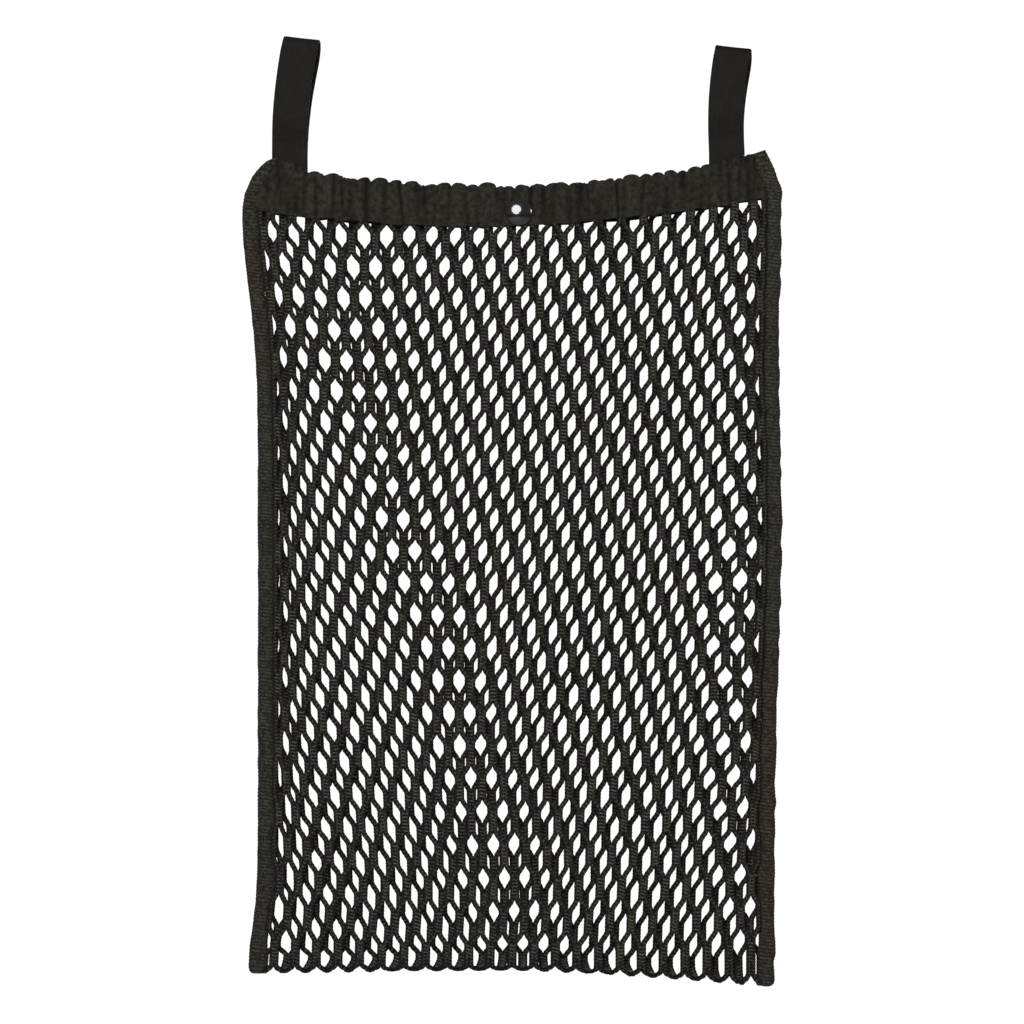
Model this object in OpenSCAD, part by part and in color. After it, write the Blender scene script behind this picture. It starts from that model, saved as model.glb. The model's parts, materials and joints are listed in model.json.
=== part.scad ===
// Small-mesh hay net: a flat knitted bag with a gathered elastic mouth,
// a press stud that closes it and two webbing loops that it hangs from.
// Frame: +X right, +Y back, +Z up, origin midway between the tops of the two loops.

/* [Bag] */
// Width of the bag at its waist, seam to seam
bag_w = 362; // [300:1:420]
// Height from the lowest point of the mouth to the bottom fold
bag_h = 549.5; // [400:0.5:700]
// Distance between the middles of the front and back nets
bag_depth = 14; // [12:0.5:24]
// Diameter of the knitted yarn
yarn_d = 3.4; // [2:0.1:5]
// How much wider the top left corner stands than the waist
flare_left = 11; // [0:0.5:20]
// How much wider the top right corner stands than the waist
flare_right = 4.5; // [0:0.5:20]
// How much lower the bottom right corner hangs than the middle
sag_right = 11; // [0:0.5:20]

/* [Mouth hem] */
// Height of the hem in the middle of the bag
hem_h = 28; // [20:0.5:40]
// Thickness of the hem with its elastic inside
hem_t = 4.6; // [3.6:0.1:6]
// How far the two corners stand above the middle of the mouth
mouth_sag = 18; // [0:0.5:40]
// How much higher the right corner stands than the left one
mouth_tilt = 6.5; // [0:0.5:12]
// How far each hem stands from the middle plane at the press stud and at the seams
hem_close = 4.3; // [4:0.1:6]
// How much further each hem bulges halfway to a seam
hem_bulge = 4.2; // [1:0.1:8]
// Width of the elastic band
elastic_w = 19; // [12:0.5:22]
// Thickness of the elastic band
elastic_t = 1.2; // [0.8:0.1:1.4]

/* [Side seams] */
// Width of the overlocked seam
seam_w = 12.5; // [8:0.5:16]
// Thickness of the overlocked seam
seam_t = 6; // [4:0.5:7]

/* [Hanging loops] */
// Width of the webbing
web_w = 25; // [20:0.5:30]
// Thickness of the webbing
web_t = 1.6; // [1.2:0.1:2]
// Radius of the eye at the top of each loop
eye_r = 4; // [3:0.1:5]
// Height of the loops' tops above the lowest point of the mouth
loop_rise = 100.5; // [80:0.5:140]
// How far the tops of the two loops stand apart
loop_pitch = 302; // [240:1:320]
// How much higher the left loop's top is than the right one's
loop_step = 6; // [0:0.5:10]
// Lean of the left loop towards the right
lean_left = 5; // [0:0.5:8]
// Lean of the right loop towards the right
lean_right = 2.8; // [0:0.1:8]

/* [Press stud] */
// Diameter of the domed cap
cap_d = 19; // [14:0.5:22]
// Height of the domed cap
cap_h = 3.2; // [2:0.1:4]
// Diameter of the socket, the stud's foot and the eyelet
stud_foot_d = 12.6; // [10:0.2:14]
// Diameter of the stud's ball
ball_d = 5.8; // [4:0.1:7]

/* [Hidden] */

// heights
mouth_z = -loop_rise;
bottom_z = mouth_z - bag_h;
hem_end_z = mouth_z - 10.5;
half_depth = bag_depth / 2;

// clearances
seam_gap = 0.4;
hem_gap = 0.4;
fold_gap = 4;
slot_gap = 0.1;
post_gap = 0.05;

// the plan shape of the bag: the nets close up towards the seams
side_half_depth = 3.6;
plan_power = 6;
// height over which the nets come together below the hem
neck_h = 70;

// corners and flares of the outline
corner_rise = 32;
corner_inset = 20;
corner_power = 1.8;
top_flare_r = 72;
bottom_flare = 7;
bottom_flare_r = 40;
belly_right = 5;
belly_r = 130;

// loops
tail_y = 0.3;
hinge_r = 1.9;
hinge_rise = 2.8;
loop_x = [-loop_pitch / 2, loop_pitch / 2];
loop_top = [loop_step / 2, -loop_step / 2];
loop_lean = [lean_left, lean_right];
eye_neck = 12;
eye_spread = 28;
tail_h = 20;
tail_top = 2.4;

// press stud
snap_x = 2;
post_r = 1.8;
post_hole_r = 2.3;
foot_t = 0.9;
foot_lift = 0.02;
socket_back = 0.9;
socket_gap = 0.3;
socket_mouth_r = ball_d / 2 + 0.1;
ball_len = 2;
snap_z = mouth_z - hem_h * 0.66;

// stitches
stitch_len = 3;
stitch_pitch = 4.2;
stitch_d = 0.6;
stitch_proud = 0.1;

// colours
YARN = [0.17, 0.16, 0.15];
CLOTH = [0.15, 0.14, 0.13];
WEBBING = [0.12, 0.11, 0.1];
THREAD = [0.1, 0.1, 0.1];
RUBBER = [0.2, 0.2, 0.2];
LACQUER = [0.05, 0.05, 0.05];
METAL = [0.35, 0.35, 0.37];

// ---- outline ----

function lerp(a, b, t) = a + (b - a) * t;
function bump(z, middle, r) = exp(-pow((z - middle) / r, 2));

// the corner of the mouth is cut back above the widest point
function corner_cut(z) =
  z > hem_end_z ? corner_inset * pow((z - hem_end_z) / corner_rise, corner_power) : 0;

function left_x(z) =
  -bag_w / 2
  - flare_left * bump(z, mouth_z - 20, top_flare_r)
  - bottom_flare * bump(z, bottom_z, bottom_flare_r)
  + corner_cut(z);

function right_x(z) =
  bag_w / 2
  + flare_right * bump(z, mouth_z - 20, top_flare_r)
  + belly_right * bump(z, mouth_z - bag_h * 0.42, belly_r)
  - corner_cut(z) * 0.7;

// u runs from -1 at the left seam to 1 at the right one
function mouth_top(u) = mouth_z + mouth_sag * u * u + mouth_tilt / 2 * u;
function mouth_low(u) = mouth_top(u) - hem_h - 3 * u * u + 1.5 * u;
function bottom(u) = bottom_z - sag_right * pow(max(0, u), 1.5) - 2 * pow(max(0, -u), 2);

function across(u, z, inset) =
  lerp(left_x(z) + inset, right_x(z) - inset, (u + 1) / 2);
function u_at(x, z, inset) =
  2 * (x - left_x(z) - inset) / (right_x(z) - left_x(z) - 2 * inset) - 1;

// ---- closed sheets, built from an outer and an inner grid of points ----

// rows of points to one list
function joined(rows) = [for (row = rows) for (p = row) p];

module sheet(outer, inner) {
  nr = len(outer);
  nc = len(outer[0]);
  n = nr * nc;
  function at(r, c) = r * nc + c;
  faces = concat(
    [for (r = [0 : nr - 2]) for (c = [0 : nc - 2]) each [
      [at(r, c), at(r, c + 1), at(r + 1, c + 1)],
      [at(r, c), at(r + 1, c + 1), at(r + 1, c)],
      [n + at(r, c), n + at(r + 1, c + 1), n + at(r, c + 1)],
      [n + at(r, c), n + at(r + 1, c), n + at(r + 1, c + 1)]
    ]],
    [for (c = [0 : nc - 2]) each [
      [at(0, c), n + at(0, c + 1), at(0, c + 1)],
      [at(0, c), n + at(0, c), n + at(0, c + 1)],
      [at(nr - 1, c), at(nr - 1, c + 1), n + at(nr - 1, c + 1)],
      [at(nr - 1, c), n + at(nr - 1, c + 1), n + at(nr - 1, c)]
    ]],
    [for (r = [0 : nr - 2]) each [
      [at(r, 0), at(r + 1, 0), n + at(r + 1, 0)],
      [at(r, 0), n + at(r + 1, 0), n + at(r, 0)],
      [at(r, nc - 1), n + at(r + 1, nc - 1), at(r + 1, nc - 1)],
      [at(r, nc - 1), n + at(r, nc - 1), n + at(r + 1, nc - 1)]
    ]]
  );
  polyhedron(points = concat(joined(outer), joined(inner)), faces = faces);
}

// ---- net ----

net_cols = 24;
net_rows = 10;
fold_rows = 8;

function net_u(c) = -1 + 2 * c / net_cols;
function hem_y(u) = hem_close + hem_bulge * pow(sin(180 * u), 2);
function belly_y(u) =
  side_half_depth + (half_depth - side_half_depth) * (1 - pow(abs(u), plan_power));

// distance of the net's middle from the middle plane
function net_y(u, z) =
  let (t = max(0, min(1, (mouth_low(u) - z) / neck_h)))
  lerp(hem_y(u), belly_y(u), t * t * (3 - 2 * t));

function fold_z(u) = bottom(u) + belly_y(u) + yarn_d / 2;

// a point of the flat stretch: v is 0 under the hem and 1 at the fold
function net_point(u, v, side, out, low_gap) =
  let (z = lerp(mouth_low(u) - hem_gap, fold_z(u) + low_gap, v))
  [across(u, z, seam_w + seam_gap), side * (net_y(u, z) + out), z];

// a point of the fold: a is 0 at the back and 180 at the front
function fold_point(u, a, out) =
  let (r = belly_y(u) + out, z = fold_z(u))
  [across(u, z, seam_w + seam_gap), r * cos(a), z - r * sin(a)];

function back_grid(out) = concat(
  [for (r = [0 : net_rows - 1])
    [for (c = [0 : net_cols]) net_point(net_u(c), r / net_rows, 1, out, 0)]],
  [for (r = [0 : fold_rows])
    [for (c = [0 : net_cols]) fold_point(net_u(c), 180 * r / fold_rows, out)]]
);

function front_grid(out) =
  [for (r = [0 : net_rows])
    [for (c = [0 : net_cols]) net_point(net_u(c), r / net_rows, -1, out, fold_gap)]];

module net_back() {
  color(YARN)
    sheet(back_grid(-yarn_d / 2), back_grid(yarn_d / 2));
}

module net_front() {
  color(YARN)
    sheet(front_grid(yarn_d / 2), front_grid(-yarn_d / 2));
}

// ---- hem and its elastic ----

hem_cols = 32;
hem_rows = 4;

function hem_u(c) = -1 + 2 * c / hem_cols;

// a point of the hem: v is 0 at its lower edge and 1 at its top
function hem_point(u, v, side, out, inset) =
  let (z = lerp(mouth_low(u), mouth_top(u), v))
  [across(u, z, seam_w + seam_gap + inset), side * (hem_y(u) + out), z];

function hem_grid(side, out, v0, v1, inset) =
  [for (r = [0 : hem_rows])
    [for (c = [0 : hem_cols])
      hem_point(hem_u(c), lerp(v0, v1, r / hem_rows), side, out, inset)]];

// a band of thickness t between the heights v0 and v1 of the hem
module hem_band(side, t, v0, v1, inset) {
  sheet(
    hem_grid(side, side * t / 2, v0, v1, inset),
    hem_grid(side, -side * t / 2, v0, v1, inset)
  );
}

module snap_hole(side) {
  translate([snap_x, side * hem_close, snap_z])
    rotate([90, 0, 0])
      cylinder(r = post_hole_r, h = hem_t * 3, center = true, $fn = 32);
}

elastic_v = elastic_w / hem_h;
elastic_v0 = (1 - elastic_v) / 2;
slot_v = slot_gap / hem_h;
slot_inset = 3;

module hem(side) {
  difference() {
    hem_band(side, hem_t, 0, 1, 0);
    hem_band(
      side, elastic_t + 2 * slot_gap,
      elastic_v0 - slot_v, 1 - elastic_v0 + slot_v, slot_inset
    );
    snap_hole(side);
  }
}

module elastic(side) {
  difference() {
    hem_band(side, elastic_t, elastic_v0, 1 - elastic_v0, slot_inset + slot_gap);
    snap_hole(side);
  }
}

module hem_back() { color(CLOTH) hem(1); }
module hem_front() { color(CLOTH) hem(-1); }
module elastic_back() { color(RUBBER) elastic(1); }
module elastic_front() { color(RUBBER) elastic(-1); }

// ---- the row of stitches that holds the net in the hem ----

stitch_v = 0.1;
hem_len = bag_w - 2 * seam_w;
stitch_count = floor(hem_len / stitch_pitch) - 2;

module hem_stitching(side) {
  for (i = [0 : stitch_count - 1]) {
    u = ((i + 0.5) / stitch_count * 2 - 1) * 0.98;
    p = hem_point(u, stitch_v, side, hem_t / 2 + stitch_proud + stitch_d / 2, 0);
    q = hem_point(u + 0.01, stitch_v, side, hem_t / 2 + stitch_proud + stitch_d / 2, 0);
    // the stitches under the press stud's cap stop short of it
    if (norm([p.x - snap_x, p.z - snap_z]) > cap_d / 2 + stitch_len)
      translate(p)
        rotate([0, 0, atan((q.y - p.y) / (q.x - p.x))])
          cube([stitch_len, stitch_d, stitch_d], center = true);
  }
}

module hem_stitching_back() { color(THREAD) hem_stitching(1); }
module hem_stitching_front() { color(THREAD) hem_stitching(-1); }

// ---- overlocked side seams ----

seam_rows = 36;
seam_sides = 10;

// one station of a seam: an oval section at height z
function seam_ring(side, z) =
  let (x = side < 0 ? left_x(z) + seam_w / 2 : right_x(z) - seam_w / 2)
  [for (k = [0 : seam_sides - 1])
    let (a = 360 * k / seam_sides)
    [x + seam_w / 2 * cos(a), seam_t / 2 * sin(a), z]];

function seam_heights(side) =
  let (top = mouth_top(side), low = bottom(side))
  [for (r = [0 : seam_rows])
    let (t = r / seam_rows)
    lerp(top, low, t * t * (1.6 - 0.6 * t))];

module side_seam(side) {
  rings = [for (z = seam_heights(side)) seam_ring(side, z)];
  n = seam_sides;
  last = seam_rows * n;
  polyhedron(
    points = joined(rings),
    faces = concat(
      [[for (k = [0 : n - 1]) k]],
      [[for (k = [n - 1 : -1 : 0]) last + k]],
      [for (r = [0 : seam_rows - 1]) for (k = [0 : n - 1]) each
        let (a = r * n + k, b = r * n + (k + 1) % n)
        [[a, a + n, b], [b, a + n, b + n]]]
    )
  );
}

module side_seam_left() { color(THREAD) side_seam(-1); }
module side_seam_right() { color(THREAD) side_seam(1); }

// ---- webbing loops ----

// the hinge line of a loop, just above the corner of the hem (loop 0 is the left one)
function foot_z(i) = mouth_top(i * 2 - 1) + hinge_rise;
function foot_x(i) = loop_x[i] - (loop_top[i] - foot_z(i)) * tan(loop_lean[i]);
function loop_len(i) = (loop_top[i] - foot_z(i)) / cos(loop_lean[i]);

// the loop seen from the side, foot at the origin
module loop_profile(len) {
  out_r = eye_r + web_t;
  top = len - out_r;
  difference() {
    union() {
      translate([-web_t, 1.5]) square([2 * web_t, eye_neck - 1.5]);
      polygon([
        [-web_t, eye_neck], [web_t, eye_neck],
        [out_r, eye_spread], [-out_r, eye_spread]
      ]);
      translate([-out_r, eye_spread]) square([2 * out_r, top - eye_spread]);
      translate([0, top]) circle(r = out_r, $fn = 64);
    }
    polygon([
      [0, eye_neck + 1], [eye_r, eye_spread + 0.4],
      [eye_r, eye_spread + 1], [-eye_r, eye_spread + 1], [-eye_r, eye_spread + 0.4]
    ]);
    translate([-eye_r, eye_spread + 1]) square([2 * eye_r, top - eye_spread - 1]);
    translate([0, top]) circle(r = eye_r, $fn = 64);
  }
}

module strap(i) {
  translate([foot_x(i), 0, foot_z(i)]) {
    rotate([0, 90, 0])
      cylinder(r = hinge_r, h = web_w, center = true, $fn = 32);
    rotate([0, loop_lean[i], 0])
      rotate([90, 0, 90])
        translate([0, 0, -web_w / 2])
          linear_extrude(web_w) loop_profile(loop_len(i));
  }
}

// the two ends of the webbing, sewn down between the hems
module strap_tail(i) {
  translate([foot_x(i) - web_w / 2, tail_y - web_t, foot_z(i) - tail_top - tail_h])
    cube([web_w, 2 * web_t, tail_h]);
}

module strap_left() { color(WEBBING) strap(0); }
module strap_right() { color(WEBBING) strap(1); }
module strap_tail_left() { color(WEBBING) strap_tail(0); }
module strap_tail_right() { color(WEBBING) strap_tail(1); }

// ---- bar tacks: two dense rows of thread over each tail, on the back of the hem ----

tack_rows = 2;
tack_row_h = 2.6;
tack_row_pitch = 9;
tack_drop = 7;
tack_stitches = 20;
tack_w = web_w - 5;

module bar_tack(i) {
  for (row = [0 : tack_rows - 1], k = [0 : tack_stitches - 1]) {
    x = foot_x(i) + ((k + 0.5) / tack_stitches - 0.5) * tack_w;
    z = foot_z(i) - tail_top - tack_drop - row * tack_row_pitch;
    u = u_at(x, z, seam_w + seam_gap);
    translate([x, hem_y(u) + hem_t / 2 + stitch_proud + stitch_d / 2, z])
      cube([stitch_d, stitch_d, tack_row_h], center = true);
  }
}

module bar_tack_left() { color(THREAD) bar_tack(0); }
module bar_tack_right() { color(THREAD) bar_tack(1); }

// ---- press stud ----

hem_face = hem_close - hem_t / 2;
hem_back_face = hem_close + hem_t / 2;
foot_r = stud_foot_d / 2;
cap_r = cap_d / 2;
cap_rim = 0.8;

// turns a shape made along +Z to point at the viewer, at the press stud's place
module at_snap(y) {
  translate([snap_x, y, snap_z])
    rotate([90, 0, 0])
      children();
}

// domed cap with its rivet, which holds the socket through the hem
module snap_cap() {
  rise = cap_h - cap_rim;
  dome_r = (cap_r * cap_r + rise * rise) / (2 * rise);
  color(LACQUER)
    at_snap(-hem_back_face) {
      cylinder(r = cap_r, h = cap_rim, $fn = 64);
      intersection() {
        translate([0, 0, cap_h - dome_r]) sphere(r = dome_r, $fn = 96);
        translate([0, 0, cap_rim - 0.01]) cylinder(r = cap_r, h = cap_h, $fn = 64);
      }
      translate([0, 0, -hem_t - socket_back])
        cylinder(r = post_r, h = hem_t + socket_back + 0.01, $fn = 32);
    }
}

socket_h = 2 * hem_face - foot_t - socket_gap;

// ring on the inside of the front hem that snaps over the ball
module snap_socket() {
  color(METAL)
    at_snap(-hem_face + foot_lift)
      mirror([0, 0, 1])
        difference() {
          cylinder(r = foot_r, h = socket_h, $fn = 64);
          translate([0, 0, -1])
            cylinder(r = post_r + post_gap, h = socket_h, $fn = 32);
          translate([0, 0, socket_back])
            cylinder(r = socket_mouth_r, h = socket_h, $fn = 48);
        }
}

// foot and ball on the inside of the back hem
module snap_stud() {
  color(METAL)
    at_snap(hem_face - foot_lift)
      difference() {
        union() {
          cylinder(r = foot_r, h = foot_t, $fn = 64);
          cylinder(r = ball_d / 2, h = foot_t + ball_len, $fn = 48);
        }
        translate([0, 0, -1])
          cylinder(r = post_r + post_gap, h = 1 + foot_t, $fn = 32);
      }
}

// ring and tube behind the back hem that hold the stud
module snap_eyelet() {
  color(METAL)
    at_snap(hem_back_face)
      difference() {
        union() {
          mirror([0, 0, 1]) cylinder(r = foot_r, h = foot_t, $fn = 64);
          cylinder(r = post_r, h = hem_t + foot_t - post_gap, $fn = 32);
        }
        translate([0, 0, -foot_t - 1]) cylinder(r = post_r * 0.55, h = hem_t + foot_t, $fn = 32);
      }
}

net_back();
net_front();
hem_back();
hem_front();
elastic_back();
elastic_front();
hem_stitching_back();
hem_stitching_front();
side_seam_left();
side_seam_right();
strap_left();
strap_right();
strap_tail_left();
strap_tail_right();
bar_tack_left();
bar_tack_right();
snap_cap();
snap_socket();
snap_stud();
snap_eyelet();
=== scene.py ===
"""Looks of the hay net: knitted net, gathered hem, overlocked seams, webbing loops and press stud."""
import json
import math

import bpy
import numpy as np
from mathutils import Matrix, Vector
from mathutils.bvhtree import BVHTree


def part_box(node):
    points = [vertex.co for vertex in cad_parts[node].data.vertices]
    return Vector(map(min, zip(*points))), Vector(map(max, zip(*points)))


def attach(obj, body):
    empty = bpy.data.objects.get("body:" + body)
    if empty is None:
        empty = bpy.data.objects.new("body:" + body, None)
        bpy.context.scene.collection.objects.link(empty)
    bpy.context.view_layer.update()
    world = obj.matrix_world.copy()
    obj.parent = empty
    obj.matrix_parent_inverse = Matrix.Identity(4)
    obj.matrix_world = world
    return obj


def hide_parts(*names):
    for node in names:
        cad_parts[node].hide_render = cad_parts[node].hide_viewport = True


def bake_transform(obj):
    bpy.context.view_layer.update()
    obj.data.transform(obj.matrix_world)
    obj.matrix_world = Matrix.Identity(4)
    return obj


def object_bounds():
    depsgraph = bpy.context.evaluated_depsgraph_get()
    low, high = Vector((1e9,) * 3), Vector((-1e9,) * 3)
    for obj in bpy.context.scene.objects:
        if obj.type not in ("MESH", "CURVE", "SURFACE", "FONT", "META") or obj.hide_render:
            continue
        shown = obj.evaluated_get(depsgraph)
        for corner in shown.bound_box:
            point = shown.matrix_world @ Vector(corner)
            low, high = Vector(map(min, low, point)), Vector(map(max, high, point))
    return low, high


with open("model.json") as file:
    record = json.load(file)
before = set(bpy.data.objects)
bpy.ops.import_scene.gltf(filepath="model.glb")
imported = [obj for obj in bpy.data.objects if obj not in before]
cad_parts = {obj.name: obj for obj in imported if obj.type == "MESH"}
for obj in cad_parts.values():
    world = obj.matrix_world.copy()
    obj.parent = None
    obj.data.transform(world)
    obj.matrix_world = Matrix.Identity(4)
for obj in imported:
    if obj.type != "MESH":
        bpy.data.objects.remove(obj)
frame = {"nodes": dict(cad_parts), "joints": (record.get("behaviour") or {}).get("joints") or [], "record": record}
cad_lo, cad_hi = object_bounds()
cad_middle = (cad_lo + cad_hi) / 2
nodes = frame["nodes"]
MM = 0.001


def put(name, data):
    """A new object in the scene."""
    made = bpy.data.objects.new(name, data)
    bpy.context.scene.collection.objects.link(made)
    return made


# ---- camera: no free cord hangs from this object

VIEW_SHARE = 1.078  # height of the picture over that of the object
CAMERA_AWAY = 3.2
SENSOR = 0.036


def add_camera():
    field = (cad_hi.z - cad_lo.z) * VIEW_SHARE
    data = bpy.data.cameras.new("camera")
    data.sensor_width = SENSOR / MM
    data.lens = SENSOR / MM * CAMERA_AWAY / field
    data.clip_end = 100
    camera = put("camera", data)
    camera.location = (cad_middle.x, cad_middle.y - CAMERA_AWAY, cad_middle.z)
    camera.rotation_euler = (math.pi / 2, 0, 0)
    bpy.context.scene.camera = camera


add_camera()

# ---- small helpers

KNOTS = 2048  # random values before a curve repeats


def lerp(a, b, t):
    return a + (b - a) * t


def smooth(t):
    t = np.clip(t, 0, 1)
    return t * t * (3 - 2 * t)


def bell(t, middle, half):
    """1 at the middle, falling to near 0 at twice the half width."""
    return np.exp(-(((t - middle) / half) ** 2))


def wander(t, pitch, seed):
    """A smooth random curve of t, from -1 to 1, that turns about once a pitch."""
    t = np.asarray(t, float) / pitch
    knots = np.random.default_rng(seed).uniform(-1, 1, KNOTS)
    i = np.floor(t).astype(int)
    return lerp(knots[i % KNOTS], knots[(i + 1) % KNOTS], smooth(t - i))


def unit(v):
    return v / np.maximum(np.linalg.norm(v, axis=-1, keepdims=True), 1e-12)


def wave(t):
    """A cosine with a crest at every whole number."""
    return np.cos(2 * math.pi * t)


def angles_round(sides):
    return np.arange(sides) / sides * 2 * math.pi


def pairs(a, b):
    """Points of two coordinates, from two arrays."""
    return np.stack(np.broadcast_arrays(a, b), -1)


def run_along(line):
    """Distance of each point of a line from its start."""
    return np.r_[0, np.cumsum(np.linalg.norm(np.diff(line, axis=0), axis=1))]


# ---- reading sizes off the CAD


def triangles(node):
    """Corners of every triangle of a CAD node, shape (n, 3, 3)."""
    mesh = nodes[node].data
    mesh.calc_loop_triangles()
    co = np.array([v.co for v in mesh.vertices], float)
    return co[np.array([t.vertices for t in mesh.loop_triangles])]


corners = {n: triangles(n) for n in nodes}


def cut(node, axis, at):
    """Lowest and highest corner of a CAD node's section across an axis."""
    a = corners[node].reshape(-1, 3)
    b = np.roll(corners[node], 1, axis=1).reshape(-1, 3)
    low = a[:, axis] - at
    high = b[:, axis] - at
    crosses = low * high < 0
    t = (low[crosses] / (low[crosses] - high[crosses]))[:, None]
    points = lerp(a[crosses], b[crosses], t)
    return points.min(0), points.max(0)


SEAMS = ("side_seam_left", "side_seam_right")
EDGE = 0.5 * MM
seam_top = min(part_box(n)[1].z for n in SEAMS) - EDGE
seam_low = max(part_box(n)[0].z for n in SEAMS) + EDGE
edge_z = np.linspace(seam_low, seam_top, 80)
edge_left = np.array([cut("side_seam_left", 2, z)[1][0] for z in edge_z])
edge_right = np.array([cut("side_seam_right", 2, z)[0][0] for z in edge_z])


def across(u, z, hidden=0.0):
    """x of the place u at height z: 0 is the left seam's inner edge and 1 the right one's."""
    left = np.interp(z, edge_z, edge_left) - hidden
    right = np.interp(z, edge_z, edge_right) + hidden
    return lerp(left, right, u)


PLACES = np.linspace(0.015, 0.985, 50)


def edge_heights(node, low_or_high):
    """Height of a CAD node's lower (0) or upper (1) edge at each place."""
    heights = []
    for u in PLACES:
        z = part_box(node)[low_or_high].z
        for _ in range(4):
            z = cut(node, 0, across(u, z))[low_or_high][2]
        heights.append(z)
    return np.array(heights)


def walls(node, side, low, high, rows):
    """Middle y of a wall of the bag by place and height, and its half thickness."""
    tris = corners[node]
    faces = [(3 * i, 3 * i + 1, 3 * i + 2) for i in range(len(tris))]
    tree = BVHTree.FromPolygons([tuple(p) for p in tris.reshape(-1, 3)], faces)
    outer = np.zeros((len(PLACES), rows))
    inner = outer.copy()
    for i, u in enumerate(PLACES):
        for k, z in enumerate(np.linspace(low[i], high[i], rows)):
            x = float(across(u, z))
            outer[i, k] = tree.ray_cast(Vector((x, side, z)), Vector((0, -side, 0)))[0].y
            inner[i, k] = tree.ray_cast(Vector((x, 0, z)), Vector((0, side, 0)))[0].y
    return (outer + inner) / 2, float(np.abs(outer - inner).mean()) / 2


BACK, FRONT = 1, -1
FOLD_CLEAR = 14 * MM  # height above the bottom where both walls are there
EDGE_CLEAR = 1.5 * MM
ROWS = 24

hem_low = edge_heights("hem_back", 0)
hem_top = edge_heights("hem_back", 1)
net_low = edge_heights("net_back", 0)
wall_low = net_low + FOLD_CLEAR
wall_top = hem_low - EDGE_CLEAR
net_back_y, slab_half = walls("net_back", BACK, wall_low, wall_top, ROWS)
net_front_y, _ = walls("net_front", FRONT, wall_low, wall_top, ROWS)
net_y = {BACK: net_back_y, FRONT: net_front_y}
hem_back_y, hem_half = walls("hem_back", BACK, hem_low + EDGE_CLEAR, hem_low + 2 * EDGE_CLEAR, 2)
hem_front_y, _ = walls("hem_front", FRONT, hem_low + EDGE_CLEAR, hem_low + 2 * EDGE_CLEAR, 2)
hem_y = {BACK: hem_back_y[:, 0], FRONT: hem_front_y[:, 0]}
fold_r = net_back_y[:, 0]
fold_z = net_low + slab_half + fold_r
hem_tall = float(np.mean(hem_top - hem_low))


def at_place(u, values):
    return np.interp(u, PLACES, values)


def hem_edges(u):
    return at_place(u, hem_low), at_place(u, hem_top)


def on_wall(u, v, table):
    """Value of a table by place and height at u and v, both from 0 to 1."""
    i = np.clip((u - PLACES[0]) / (PLACES[1] - PLACES[0]), 0, len(PLACES) - 1.001)
    k = np.clip(v * (ROWS - 1), 0, ROWS - 1.001)
    i0 = i.astype(int)
    k0 = k.astype(int)
    low = lerp(table[i0, k0], table[i0 + 1, k0], i - i0)
    high = lerp(table[i0, k0 + 1], table[i0 + 1, k0 + 1], i - i0)
    return lerp(low, high, k - k0)


# ---- building meshes

TIP = 0.3  # reach of a tube's tip, in steps


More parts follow.
